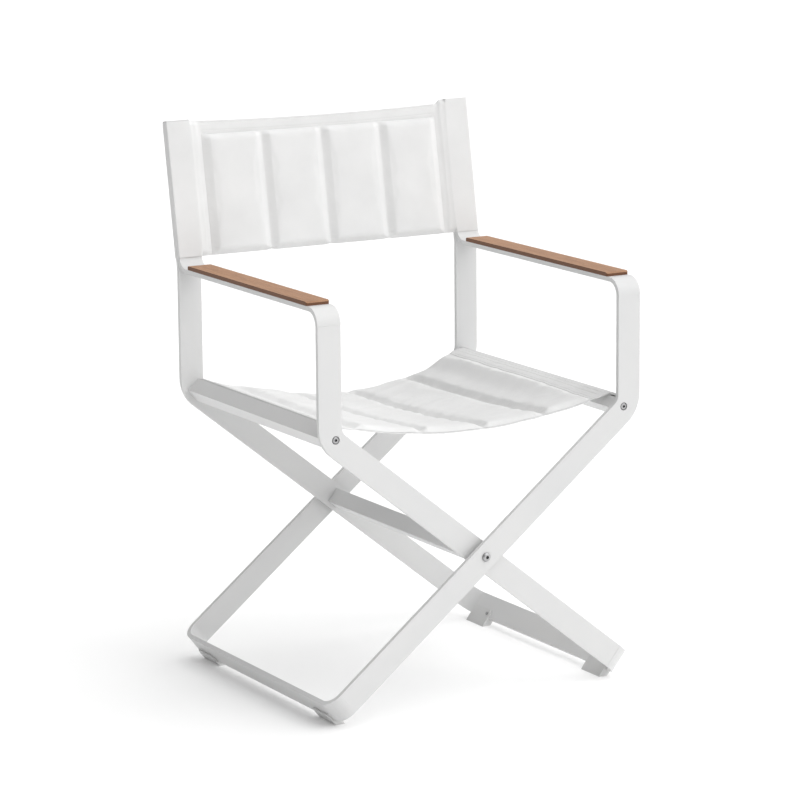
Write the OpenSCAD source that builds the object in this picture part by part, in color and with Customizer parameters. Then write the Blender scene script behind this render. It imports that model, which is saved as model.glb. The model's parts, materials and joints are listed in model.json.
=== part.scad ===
// Folding director chair: two bent flat-bar frames crossing on a front and a rear pivot,
// teak arm slats, a padded seat sling and a padded back sling.
// +Z is up, the chair faces -Y, +X is to the right for someone looking at the chair's front.
// The outer frame carries the +X arm; the inner frame nests inside it and carries the -X arm.

/* [Overall size] */
// Width across the outside of the two frames, mm
frame_width = 570; // [540:2:600]
// Depth of the outer frame over its flat bars, mm
frame_depth = 506; // [480:2:530]
// How far the inner frame sits inside the outer one at the front and at the rear, mm
nest = 16; // [15:0.5:18]
// Height of the arm bar's top above the pivot, mm
arm_rise = 416; // [400:1:430]
// Height of the back posts' top above the pivot, mm
post_rise = 647; // [620:1:680]
// Lean of the back posts from vertical, degrees
lean = 9.8; // [7:0.2:13]

/* [Flat bar] */
// Width of the flat bar
bar_w = 40; // [36:1:42]
// Thickness of the flat bar
bar_t = 7; // [6:0.5:8]
// Inside radius of the easy-way bends at the arms and the floor bars
bend_r = 20; // [16:1:22]
// Inside radius of the knees between post and leg
knee_r = 20; // [16:1:24]
// Slope of the crossing legs from horizontal, degrees
leg_angle = 38.8; // [38:0.2:40]
// Distance along a leg from the pivot to the floor bar's lower face
leg_reach = 346; // [338:1:352]

/* [Seat rails and cross rail] */
// Outer side of the square seat rail
rail_s = 26; // [24:1:27]
// Distance of the seat rail's centre from the knee's bend centre
rail_polar_r = 36.7; // [34:0.1:38]
// Direction of the seat rail's centre from the knee's bend centre, degrees below horizontal
rail_polar_a = 33.9; // [30:0.1:36]
// Direction that the rail's keder face looks in, degrees above horizontal
rail_face_a = 40; // [36:1:45]
// Cross rail section, across the leg and along the leg
cross_a = 27; // [24:1:28]
cross_b = 20; // [18:1:22]
// Wall of the rails
rail_wall = 2.2; // [2:0.1:2.5]

/* [Slings] */
// Front-to-back size of the seat fabric
seat_len = 444; // [420:2:450]
// Sag of the seat fabric at its front edge
seat_sag_front = 31; // [20:1:40]
// Sag of the seat fabric at its rear edge
seat_sag_rear = 52; // [40:1:60]
// Extra sag of the seat fabric halfway between its front and rear edges
seat_bowl = 8; // [0:1:12]
// Height of the back fabric, measured along the posts
back_h = 219; // [200:1:219]
// Gap between the back fabric's top edge and the top of the posts
back_top_gap = 2; // [1:0.5:4]
// Width of one padded channel of the seat
seat_channel = 111; // [106:1:112]
// How far the seat's four channels lie to the right of its middle
seat_shift = 16; // [0:1:18]
// Width of one padded channel of the back
back_channel = 113; // [108:1:114]
// Thickness of a padded channel above its base fabric
pad_t = 7.5; // [5:0.5:9]

/* [Arm slats and feet] */
// Thickness of the teak slat
slat_t = 6.4; // [5:0.2:8]
// Clearance of a slat's end from the start of the arm's bend
slat_margin = 7; // [5:1:10]
// Length of a foot glide
glide_len = 54; // [50:1:58]
// Height of the floor below the lowest corner of the floor bar
glide_t = 7.6; // [6:0.1:9]
// Wall of the glide's two leaves
glide_leaf = 3; // [2:0.5:4]

/* [Hidden] */
$fn = 96;
half_w = frame_width / 2;
half_d = frame_depth / 2;
bend_o = bend_r + bar_t;
run_gap = 0.3;
// straight stretches run this far into a bend that ends at a slant, so that the two join
seam_lap = 1;
// and are this much wider than the bend on its inside, so that their edges cross
seam_step = 0.01;
st = sin(leg_angle);
ct = cos(leg_angle);
pivot_z = leg_reach * st + bar_w / 2 * ct + glide_t;
// fasteners
pivot_shank_r = 4;
pivot_head_r = 7;
pivot_head_t = 3.8;
bush_r = 6;
bush_bore_r = 4.05;
bush_flange_r = 8.5;
bush_flange_t = 1.2;
spacer_r = 9;
screw_r = 3;
screw_head_r = 5.9;
screw_head_t = 3;
screw_len = 30;
hole_gap = 0.1;
hole_free = 0.3;
head_free = 0.5;
socket_r = 2.3;
socket_deep = 2;
pivot_socket_r = 2.9;
pivot_socket_deep = 2.4;
pivot_screw_grip = 20;
slat_screw_r = 2;
slat_screw_head_r = 4;
slat_screw_head_t = 2;
slat_screw_in = 45;
slat_corner_r = 3;
// bevel round the slat's top edge: its height and its width
slat_bevel = [2, 4.5];
glide_screw_r = 1.5;
glide_screw_head = [2.8, 1.4];
glide_screw_in = 9;
// the glide's leaves reach from the bar's lower edge up to this offset across the leg
glide_top_o = -bar_w / 2 + 15;
glide_screw_o = -bar_w / 2 + 7;
glide_clip = 5;
// the glide's heel: how far it reaches below the bar, and how far it leans out at the floor
glide_heel = [10, 4];
plug_len = 22;
// knee's bend centre and seat rail's centre, on the -X side, measured from the pivot
knee_x = -half_w + bar_w + knee_r;
knee_z = (bar_w / 2 + knee_r - knee_x * st) / ct;
rail_x = knee_x - rail_polar_r * cos(rail_polar_a);
rail_z = knee_z - rail_polar_r * sin(rail_polar_a);
// back posts: corner where the rear post starts to lean, and directions along it and forward
lean_z = arm_rise - bar_t + 1;
post_root = 30;
lu = [sin(lean), cos(lean)];
lm = [-cos(lean), sin(lean)];
post_len = (post_rise - lean_z) / cos(lean);
arm_s = (arm_rise + bend_r - lean_z - (2 * bar_t + bend_r) * sin(lean)) / cos(lean);
// sleeves of the back fabric
cloth_t = 0.8;
sleeve_gap = 0.3;
sleeve_out = cloth_t + sleeve_gap;
back_s1 = post_len - back_top_gap;
back_s0 = back_s1 - back_h;
// the model's front-to-back middle is put on the origin
y_front = -half_d - run_gap - pivot_head_t;
y_rear = half_d + back_s1 * lu[0] + sleeve_out * cos(lean);
y_shift = -(y_front + y_rear) / 2;
// keder channel in the seat rail
keder_in = 3.6;
keder_from_corner = 5.2;
keder_ch_r = 3;
keder_slot = 2;
keder_rod_r = 2.3;
// ribs inside the seat rail, and the walls round its screw hole and its keder channel
rail_rib = 1.8;
boss_wall = 2.6;
// fabric panels: fractions across one padded channel and the padding's share of thickness there
pad_f = [0.02, 0.18, 0.5, 0.82, 0.98];
pad_k = [0.25, 0.9, 1, 0.9, 0.25];
edge_k = 0.3;
seat_edge_x = half_w - 36;
seat_edge_z = rail_z + rail_s / sqrt(2) * sin(rail_face_a + 45) - 2.6;
base_t = 2;
layer_gap = 0.05;
fit = 0.02;
in_d = half_d - nest;
seat_rows = [for (in = [2, 16, 152]) -seat_len / 2 + in, for (in = [152, 16, 2]) seat_len / 2 - in];
back_rows = [back_s0 + 4, back_s0 + 14, back_s1 - 40, back_s1 - 29];
// back fabric: distance forward of the outer post's rear face where it meets the two sleeves
web_m_left = 22;
web_m_right = 9;
web_x = half_w - bar_w - 0.7;
nest_s = nest * sin(lean);
white = [0.93, 0.93, 0.92];
cloth = [0.96, 0.96, 0.95];
teak = [0.62, 0.33, 0.16];
steel = [0.72, 0.72, 0.74];
plastic = [0.9, 0.91, 0.9];

// ---------- placing helpers ----------
// Everything below is drawn about the pivot axis; placed() moves it to the model's own frame.
module placed() {
    translate([0, y_shift, pivot_z]) children();
}

// The outer frame is the inner frame's mirror image in X, at its own depth.
module on_outer() {
    placed() mirror([1, 0, 0]) children();
}

module on_inner() {
    placed() children();
}

// A profile drawn in (x, z), made solid from y0 to y1.
module xz_plate(y0, y1) {
    translate([0, y1, 0]) rotate([90, 0, 0]) linear_extrude(y1 - y0) children();
}

// A profile drawn in (y, z), made solid from x0 to x1.
module yz_strip(x0, x1) {
    translate([x0, 0, 0]) rotate([90, 0, 90]) linear_extrude(x1 - x0) children();
}

// First axis along Y, second down the leg, third across the leg.
module leg_frame() {
    multmatrix([[0, ct, -st, 0], [1, 0, 0, 0], [0, -st, -ct, 0], [0, 0, 0, 1]]) children();
}

// First axis along Y, second across the leg, third down the leg.
module face_frame() {
    multmatrix([[0, st, ct, 0], [1, 0, 0, 0], [0, ct, -st, 0], [0, 0, 0, 1]]) children();
}

// Point of the (x, z) plane at v down the leg and o across it.
function leg_pt(v, o) = [v * ct + o * st, -v * st + o * ct];

// A cylinder along Y from y0 to y1.
module y_rod(r, y0, y1) {
    translate([0, y0, 0]) rotate([-90, 0, 0]) cylinder(r = r, h = y1 - y0);
}

// Sector of a ring between two angles less than 180 degrees apart.
module ring_sector(r0, r1, a0, a1) {
    am = (a0 + a1) / 2;
    reach = 2.2 * r1;
    intersection() {
        difference() {
            circle(r = r1);
            circle(r = r0);
        }
        polygon([[0, 0], reach * [cos(a0), sin(a0)], reach * 1.4 * [cos(am), sin(am)],
            reach * [cos(a1), sin(a1)]]);
    }
}

// ---------- frame members ----------
// Outline of a front or rear leg in (x, z): post, knee and crossing leg.
module leg_outline(post_top) {
    knee_s = knee_x * ct - knee_z * st;
    leg_dir = 270 - leg_angle;
    translate([knee_x, knee_z]) {
        translate([-knee_r - bar_w, 0]) square([bar_w, post_top - knee_z]);
        ring_sector(knee_r, knee_r + bar_w, 180, leg_dir);
        rotate([0, 0, leg_dir]) translate([knee_r - seam_step, -seam_lap])
            square([bar_w + seam_step, leg_reach - bend_o - knee_s + seam_lap]);
    }
}

// One leg plate with its wide faces at y0 and y1; the screw head enters from face out_y.
module leg_plate(y0, y1, post_top, out_y, pivot_r) {
    in_dir = out_y < (y0 + y1) / 2 ? 1 : -1;
    sink_y = out_y + in_dir * screw_head_t;
    difference() {
        xz_plate(y0, y1) leg_outline(post_top);
        y_rod(pivot_r, y0 - 1, y1 + 1);
        translate([rail_x, 0, rail_z]) {
            y_rod(screw_r + hole_free, y0 - 1, y1 + 1);
            y_rod(screw_head_r + head_free, min(sink_y, out_y - in_dir), max(sink_y, out_y - in_dir));
        }
    }
}

// Leaning part of the rear post, rear face at y = d.
module rear_post(d) {
    q = [d, lean_z];
    yz_strip(-half_w, -half_w + bar_w) polygon([[d, lean_z - post_root], q, q + post_len * lu,
        q + post_len * lu + bar_t * lm, q + bar_t * lm - bar_t * tan(lean / 2) * lu,
        [d - bar_t, lean_z - post_root]]);
}

module rear_leg(d, pivot_r) {
    union() {
        leg_plate(d - bar_t, d, lean_z - post_root, d, pivot_r);
        rear_post(d);
    }
}

module front_leg(d, pivot_r) {
    leg_plate(-d, -d + bar_t, arm_rise - bend_o, -d, pivot_r);
}

// Arm: front bend, flat run, rear upward bend and the front layer of the back post.
module arm_strip(d) {
    q = [d, lean_z];
    c = q + arm_s * lu + (2 * bar_t + bend_r) * lm;
    f0 = -d + bend_o;
    strip_s = arm_s - seam_lap;
    difference() {
        yz_strip(-half_w, -half_w + bar_w) {
            translate([f0, arm_rise - bend_o]) ring_sector(bend_r, bend_o, 90, 180);
            translate([f0, arm_rise - bar_t]) square([c[0] - f0, bar_t]);
            translate(c) ring_sector(bend_r, bend_o, -90, -lean);
            polygon([strip_s * lu + bar_t * lm + q, post_len * lu + bar_t * lm + q,
                post_len * lu + 2 * bar_t * lm + q, strip_s * lu + 2 * bar_t * lm + q]);
        }
        for (y = slat_screw_y(d)) translate([-half_w + bar_w / 2, y, arm_rise - bar_t - 1])
            cylinder(r = slat_screw_r + hole_free, h = bar_t + 2);
    }
}

function arm_rear_y(d) = d + arm_s * lu[0] + (2 * bar_t + bend_r) * lm[0];
function slat_y0(d) = -d + bend_o + slat_margin;
function slat_y1(d) = arm_rear_y(d) - slat_margin;
function slat_screw_y(d) = [slat_y0(d) + slat_screw_in, (slat_y0(d) + slat_y1(d)) / 2,
    slat_y1(d) - slat_screw_in];

// Floor bar with its two quarter bends up to the legs.
module floor_bar(d) {
    difference() {
        leg_frame() linear_extrude(bar_w, center = true) {
            translate([d - bend_o, leg_reach - bend_o]) ring_sector(bend_r, bend_o, 0, 90);
            translate([bend_o - d, leg_reach - bend_o]) ring_sector(bend_r, bend_o, 90, 180);
            translate([bend_o - d, leg_reach - bar_t]) square([2 * (d - bend_o), bar_t]);
        }
        for (y = glide_screw_y(d)) glide_bore(y, glide_screw_r + hole_gap, leg_reach + 1);
    }
}

// ---------- feet ----------
function foot_y0(d, side) = side < 0 ? -d + bend_o + 1 : d - bend_o - 1 - glide_len;
function glide_screw_y(d) = [for (side = [-1, 1]) foot_y0(d, side) + glide_screw_in];

// Screw hole down the leg's direction, from above the glide's inner leaf to v_end.
module glide_bore(y, r, v_end) {
    v_start = leg_reach - bar_t - 2 * glide_leaf;
    face_frame() translate([y, glide_screw_o, v_start]) cylinder(r = r, h = v_end - v_start);
}

// Clip-on glide round the floor bar's lower edge, flat underneath.
module foot_glide(d, side) {
    y0 = foot_y0(d, side);
    v0 = leg_reach - bar_t - glide_leaf;
    v1 = leg_reach + glide_leaf;
    heel = leg_pt(v0, -bar_w / 2 - glide_heel[0]);
    difference() {
        xz_plate(y0, y0 + glide_len) polygon([leg_pt(v0, glide_top_o),
            leg_pt(leg_reach - bar_t, glide_top_o), leg_pt(leg_reach - bar_t, -bar_w / 2),
            leg_pt(leg_reach, -bar_w / 2), leg_pt(leg_reach, glide_top_o),
            leg_pt(v1, glide_top_o), leg_pt(v1, (v1 * st - pivot_z) / ct),
            [heel[0] - glide_heel[1], -pivot_z], heel]);
        // clipped upper corners of both leaves
        for (e = [0, 1]) face_frame() translate([y0 + e * glide_len, glide_top_o, leg_reach])
            linear_extrude(4 * bar_t, center = true)
                polygon([[-glide_clip, 1], [-glide_clip, 0], [0, -1.6 * glide_clip],
                    [glide_clip, 0], [glide_clip, 1]]);
        glide_bore(y0 + glide_screw_in, glide_screw_r + 2 * hole_gap, leg_reach - 1);
    }
}

// Two pan-head screws that hold one frame's glides, heads on the inner leaves.
module foot_screws(d) {
    v_in = leg_reach - bar_t - glide_leaf;
    for (y = glide_screw_y(d)) face_frame() translate([y, glide_screw_o, v_in]) {
        translate([0, 0, -glide_screw_head[1]])
            cylinder(r = glide_screw_head[0], h = glide_screw_head[1]);
        cylinder(r = glide_screw_r, h = glide_leaf + bar_t);
    }
}

// ---------- arm slats ----------
module slat(d) {
    y0 = slat_y0(d);
    y1 = slat_y1(d);
    r = slat_corner_r;
    z1 = arm_rise + slat_t;
    difference() {
        intersection() {
            yz_strip(-half_w, -half_w + bar_w) polygon([[y0, arm_rise], [y1, arm_rise],
                [y1, z1 - slat_bevel[0]], [y1 - slat_bevel[1], z1],
                [y0 + slat_bevel[1], z1], [y0, z1 - slat_bevel[0]]]);
            translate([0, 0, arm_rise - 1]) linear_extrude(slat_t + 2) {
                translate([-half_w, y0 + r]) square([bar_w, y1 - y0 - 2 * r]);
                translate([-half_w + r, y0]) square([bar_w - 2 * r, y1 - y0]);
                for (x = [r, bar_w - r], y = [y0 + r, y1 - r]) translate([x - half_w, y])
                    circle(r = r);
            }
        }
        for (y = slat_screw_y(d)) translate([-half_w + bar_w / 2, y, arm_rise - 1])
            cylinder(r = slat_screw_r + hole_gap / 2, h = slat_t - 1);
    }
}

// Pan-head screws that hold the slat from under the arm.
module slat_screws(d) {
    for (y = slat_screw_y(d)) translate([-half_w + bar_w / 2, y, arm_rise - bar_t]) {
        translate([0, 0, -slat_screw_head_t])
            cylinder(r1 = slat_screw_head_r - 1, r2 = slat_screw_head_r, h = slat_screw_head_t);
        cylinder(r = slat_screw_r, h = bar_t + slat_t - 2.2);
    }
}

// ---------- rails ----------
// Seat rail's section about its centre; the keder face looks in +y of the section.
module rail_section() {
    h = rail_s / 2;
    kx = -h + keder_from_corner;
    ky = h - keder_in;
    in_h = h - rail_wall;
    difference() {
        square(rail_s, center = true);
        difference() {
            square(2 * in_h, center = true);
            circle(r = screw_r + boss_wall);
            square([rail_rib, rail_s], center = true);
            square([rail_s, rail_rib], center = true);
            translate([kx, ky]) circle(r = keder_ch_r + rail_rib);
        }
        circle(r = screw_r + hole_gap);
        translate([kx, ky]) circle(r = keder_ch_r);
        translate([kx - keder_slot / 2, ky]) square([keder_slot, keder_in + 1]);
    }
}

// Places a section drawn about the seat rail's centre, its +y turned to the keder face.
module at_rail() {
    translate([rail_x, rail_z]) rotate([0, 0, rail_face_a - 90]) children();
}

module seat_rail(d) {
    xz_plate(-d + bar_t, d - bar_t) at_rail() rail_section();
}

// Rod in the seat fabric's hem, with the fabric's tongue in the rail's slot.
module keder() {
    h = rail_s / 2;
    xz_plate(-seat_len / 2, seat_len / 2) at_rail()
        translate([-h + keder_from_corner, h - keder_in]) {
            circle(r = keder_rod_r);
            translate([-cloth_t, 0]) square([2 * cloth_t, keder_in + 0.4]);
        }
}

// Button-head screw along Y: head from y = 0 towards +y_dir, shank on through the head.
module button_screw(dir) {
    rotate([dir > 0 ? -90 : 90, 0, 0]) difference() {
        union() {
            rotate_extrude() polygon([[0, 0], [screw_head_r - 2, 0], [screw_head_r - 0.6, 0.7],
                [screw_head_r, 1.8], [screw_head_r, screw_head_t], [0, screw_head_t]]);
            cylinder(r = screw_r, h = screw_len);
        }
        translate([0, 0, -1]) cylinder(r = socket_r, h = socket_deep + 1, $fn = 6);
    }
}

module rail_screws(d) {
    translate([rail_x, -d, rail_z]) button_screw(1);
    translate([rail_x, d, rail_z]) button_screw(-1);
}

// Tube between the two pivots, turned with the inner frame's legs.
module cross_section(a, b) {
    rotate([0, 0, 90 - leg_angle]) square([a, b], center = true);
}

module cross_tube() {
    d = half_d - nest;
    xz_plate(-d + bar_t, d - bar_t) difference() {
        cross_section(cross_a, cross_b);
        cross_section(cross_a - 2 * rail_wall, cross_b - 2 * rail_wall);
    }
}

module cross_plugs() {
    d = half_d - nest - bar_t;
    for (s = [-1, 1]) xz_plate(s < 0 ? -d : d - plug_len, s < 0 ? -d + plug_len : d)
        difference() {
            cross_section(cross_a - 2 * rail_wall, cross_b - 2 * rail_wall);
            circle(r = pivot_shank_r + hole_gap);
        }
}

// ---------- pivots; each is drawn at the front and mirrored to the rear ----------
// Shouldered screw: head outside the outer leg, shank through bush, spacer and inner leg.
module pivot_screw() {
    y_in = -half_d - run_gap;
    translate([0, y_in - pivot_head_t, 0]) rotate([-90, 0, 0]) difference() {
        union() {
            rotate_extrude() polygon([[0, 0], [pivot_head_r - 2.6, 0], [pivot_head_r - 1, 0.8],
                [pivot_head_r, 2.2], [pivot_head_r, pivot_head_t], [0, pivot_head_t]]);
            cylinder(r = pivot_shank_r, h = pivot_head_t + run_gap + nest + bar_t + pivot_screw_grip);
        }
        translate([0, 0, -1]) cylinder(r = pivot_socket_r, h = pivot_socket_deep + 1, $fn = 6);
    }
}

// Flanged plain bush pressed into the outer leg.
module pivot_bush() {
    difference() {
        union() {
            y_rod(bush_r, -half_d, -half_d + bar_t);
            y_rod(bush_flange_r, -half_d + bar_t, -half_d + bar_t + bush_flange_t);
        }
        y_rod(bush_bore_r, -half_d - 1, -half_d + bar_t + 3);
    }
}

// Spacer between the bush's flange and the inner leg.
module pivot_spacer() {
    difference() {
        y_rod(spacer_r, -half_d + bar_t + bush_flange_t + run_gap, -half_d + nest);
        y_rod(pivot_shank_r + hole_gap, -half_d, 0);
    }
}

// ---------- fabric ----------
// Closed solid between an upper and a lower grid of points.
module grid_solid(up, lo) {
    nx = len(up);
    ny = len(up[0]);
    n = nx * ny;
    pts = concat([for (col = up) each col], [for (col = lo) each col]);
    top = [for (i = [0:nx - 2], j = [0:ny - 2], t = [0, 1]) let (a = i * ny + j)
        t == 0 ? [a, a + ny + 1, a + ny] : [a, a + 1, a + ny + 1]];
    bottom = [for (f = top) [f[2] + n, f[1] + n, f[0] + n]];
    ends = [for (j = [0:ny - 2], e = [0, nx - 1], t = [0, 1]) let (a = e * ny + j,
        f = t == 0 ? [a, a + n, a + n + 1] : [a, a + n + 1, a + 1])
        e == 0 ? f : [f[2], f[1], f[0]]];
    sides = [for (i = [0:nx - 2], e = [0, ny - 1], t = [0, 1]) let (a = i * ny + e,
        f = t == 0 ? [a, a + ny, a + ny + n] : [a, a + ny + n, a + n])
        e == 0 ? f : [f[2], f[1], f[0]]];
    polyhedron(points = pts, faces = concat(top, bottom, ends, sides));
}

// Positions across channel c of four channels of width w, at the fractions of pad_f.
function channel_x(c, w, shift = 0) = [for (f = pad_f) (c - 2 + f) * w + shift];

// Share of the padding's thickness in row j of n rows.
function row_k(j, n) = j == 0 || j == n - 1 ? edge_k : 1;

// Sag of the seat at depth y and height of the fabric's underside at (x, y).
function seat_sag(y) = seat_sag_rear
    + (seat_sag_front - seat_sag_rear) * (seat_len / 2 - y) / seat_len
    + seat_bowl * (1 - pow(2 * y / seat_len, 2));
function seat_z(x, y) = seat_edge_z - seat_sag(y) * (1 - pow(x / seat_edge_x, 2));

function seat_grid(xs, ys, lift) = [for (x = xs) [for (y = ys) [x, y, seat_z(x, y) + lift]]];

module seat_base() {
    xs = concat([-seat_edge_x], [for (c = [0:3]) each channel_x(c, seat_channel, seat_shift)],
        [seat_edge_x]);
    ys = concat([-seat_len / 2], seat_rows, [seat_len / 2]);
    grid_solid(seat_grid(xs, ys, base_t), seat_grid(xs, ys, 0));
}

// Four padded channels on the seat's base fabric.
module seat_pads() {
    for (c = [0:3]) {
        xs = channel_x(c, seat_channel, seat_shift);
        lo = seat_grid(xs, seat_rows, base_t + layer_gap);
        up = [for (i = [0:len(xs) - 1]) [for (j = [0:len(seat_rows) - 1])
            lo[i][j] + [0, 0, pad_t * pad_k[i] * row_k(j, len(seat_rows))]]];
        grid_solid(up, lo);
    }
}

// First axis along X, second rearwards across the posts, third up along the outer rear post.
module lean_frame() {
    translate([0, half_d, lean_z]) rotate([-lean, 0, 0]) children();
}

// Tube of fabric round one back post whose rear face is at r1 and whose inner edge is at x0.
module sleeve(x0, r1, s0, s1) {
    translate([0, 0, s0]) linear_extrude(s1 - s0) difference() {
        translate([x0 - sleeve_out, r1 - 2 * bar_t - sleeve_out])
            square([bar_w + 2 * sleeve_out, 2 * bar_t + 2 * sleeve_out]);
        translate([x0 - sleeve_gap, r1 - 2 * bar_t - sleeve_gap])
            square([bar_w + 2 * sleeve_gap, 2 * bar_t + 2 * sleeve_gap]);
    }
}

// Rearward position of the back fabric's middle at x, and its edge positions.
function back_r(x) = -(web_m_left + web_m_right) / 2
    + (web_m_left - web_m_right) * x / (2 * web_x);

module back_base() {
    lean_frame() {
        sleeve(half_w - bar_w, 0, back_s0, back_s1);
        sleeve(-half_w, -nest * cos(lean), back_s0 - nest_s, back_s1 - nest_s);
        translate([0, 0, back_s0]) linear_extrude(back_h - nest_s) polygon([
            [-web_x, back_r(-web_x) - base_t / 2], [web_x, back_r(web_x) - base_t / 2],
            [web_x, back_r(web_x) + base_t / 2], [-web_x, back_r(-web_x) + base_t / 2]]);
    }
}

// Four padded channels on the front of the back fabric.
module back_pads() {
    lean_frame() for (c = [0:3]) {
        xs = channel_x(c, back_channel);
        lo = [for (x = xs) [for (s = back_rows) [x, back_r(x) - base_t / 2 - layer_gap, s]]];
        up = [for (i = [0:len(xs) - 1]) [for (j = [0:len(back_rows) - 1])
            lo[i][j] - [0, pad_t * pad_k[i] * row_k(j, len(back_rows)), 0]]];
        grid_solid(up, lo);
    }
}

// ---------- one module per sub-part ----------
module outer_front_leg() color(white) on_outer() front_leg(half_d, bush_r + fit);
module outer_rear_leg() color(white) on_outer() rear_leg(half_d, bush_r + fit);
module outer_arm() color(white) on_outer() arm_strip(half_d);
module outer_floor_bar() color(white) on_outer() floor_bar(half_d);
module outer_slat() color(teak) on_outer() slat(half_d);
module outer_slat_screws() color(steel) on_outer() slat_screws(half_d);
module outer_seat_rail() color(white) on_outer() seat_rail(half_d);
module outer_rail_screws() color(steel) on_outer() rail_screws(half_d);
module outer_keder() color(cloth) on_outer() keder();
module outer_front_foot() color(plastic) on_outer() foot_glide(half_d, -1);
module outer_rear_foot() color(plastic) on_outer() foot_glide(half_d, 1);
module outer_foot_screws() color(steel) on_outer() foot_screws(half_d);
module front_pivot_bush() color(plastic) placed() pivot_bush();
module rear_pivot_bush() color(plastic) placed() mirror([0, 1, 0]) pivot_bush();

module inner_front_leg() color(white) on_inner() front_leg(in_d, pivot_shank_r + 0.1);
module inner_rear_leg() color(white) on_inner() rear_leg(in_d, pivot_shank_r + 0.1);
module inner_arm() color(white) on_inner() arm_strip(in_d);
module inner_floor_bar() color(white) on_inner() floor_bar(in_d);
module inner_slat() color(teak) on_inner() slat(in_d);
module inner_slat_screws() color(steel) on_inner() slat_screws(in_d);
module inner_seat_rail() color(white) on_inner() seat_rail(in_d);
module inner_rail_screws() color(steel) on_inner() rail_screws(in_d);
module inner_keder() color(cloth) on_inner() keder();
module inner_front_foot() color(plastic) on_inner() foot_glide(in_d, -1);
module inner_rear_foot() color(plastic) on_inner() foot_glide(in_d, 1);
module inner_foot_screws() color(steel) on_inner() foot_screws(in_d);
module cross_rail() color(white) on_inner() cross_tube();
module cross_rail_plugs() color(plastic) on_inner() cross_plugs();
module front_pivot_screw() color(steel) on_inner() pivot_screw();
module rear_pivot_screw() color(steel) on_inner() mirror([0, 1, 0]) pivot_screw();
module front_pivot_spacer() color(plastic) on_inner() pivot_spacer();
module rear_pivot_spacer() color(plastic) on_inner() mirror([0, 1, 0]) pivot_spacer();

module seat_sling() color(cloth) placed() seat_base();
module seat_padding() color(cloth) placed() seat_pads();
module back_sling() color(cloth) placed() back_base();
module back_padding() color(cloth) placed() back_pads();

outer_front_leg();
outer_rear_leg();
outer_arm();
outer_floor_bar();
outer_slat();
outer_slat_screws();
outer_seat_rail();
outer_rail_screws();
outer_keder();
outer_front_foot();
outer_rear_foot();
outer_foot_screws();
front_pivot_bush();
rear_pivot_bush();
inner_front_leg();
inner_rear_leg();
inner_arm();
inner_floor_bar();
inner_slat();
inner_slat_screws();
inner_seat_rail();
inner_rail_screws();
inner_keder();
inner_front_foot();
inner_rear_foot();
inner_foot_screws();
cross_rail();
cross_rail_plugs();
front_pivot_screw();
rear_pivot_screw();
front_pivot_spacer();
rear_pivot_spacer();
seat_sling();
seat_padding();
back_sling();
back_padding();
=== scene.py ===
"""Looks of the folding director chair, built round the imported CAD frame. Sizes are in metres."""

import json
import math

import bmesh
import bpy
import numpy as np
from mathutils import Matrix, Vector, noise


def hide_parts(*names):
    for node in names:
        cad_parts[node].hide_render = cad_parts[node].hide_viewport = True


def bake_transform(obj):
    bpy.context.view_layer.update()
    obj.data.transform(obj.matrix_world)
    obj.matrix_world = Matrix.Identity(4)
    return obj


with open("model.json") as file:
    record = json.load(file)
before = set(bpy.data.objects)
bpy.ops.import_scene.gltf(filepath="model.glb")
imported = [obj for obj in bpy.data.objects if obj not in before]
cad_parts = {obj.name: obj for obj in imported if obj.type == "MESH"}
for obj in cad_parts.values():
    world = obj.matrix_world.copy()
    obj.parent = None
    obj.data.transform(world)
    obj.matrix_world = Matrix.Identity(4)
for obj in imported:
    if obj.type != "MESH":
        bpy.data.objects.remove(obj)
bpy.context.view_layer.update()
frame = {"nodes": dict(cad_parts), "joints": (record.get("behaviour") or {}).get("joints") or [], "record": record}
NODES = frame["nodes"]
FOLD = frame["joints"][0]
PIVOT = Vector(FOLD["pos_m"])

# ---------- camera ----------
CAMERA_ANGLES = (-29.62, 11.51, -0.51)  # azimuth, elevation and roll, in degrees
CAMERA_FROM_PIVOT = Vector((-2.74118, -4.78045, 1.31854))
LENS, SENSOR = 157.3, 36
SHIFT_X, SHIFT_Y = 0.0104, 0.0078


def camera():
    """The photograph's viewing angle, from a place measured from the pivot axis."""
    azimuth, elevation, roll = (math.radians(a) for a in CAMERA_ANGLES)
    forward = Vector((-math.sin(azimuth) * math.cos(elevation),
                      math.cos(azimuth) * math.cos(elevation), -math.sin(elevation)))
    right = Vector((math.cos(azimuth), math.sin(azimuth), 0))
    up = right.cross(forward)
    c, s = math.cos(roll), math.sin(roll)
    side, top = c * right + s * up, c * up - s * right
    data = bpy.data.cameras.new("camera")
    data.lens, data.sensor_width = LENS, SENSOR
    data.shift_x, data.shift_y = SHIFT_X, SHIFT_Y
    data.clip_end = 50
    obj = bpy.data.objects.new("camera", data)
    bpy.context.scene.collection.objects.link(obj)
    turn = Matrix((side, top, -forward)).transposed().to_4x4()
    obj.matrix_world = Matrix.Translation(PIVOT + CAMERA_FROM_PIVOT) @ turn
    bpy.context.scene.camera = obj


camera()


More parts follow.
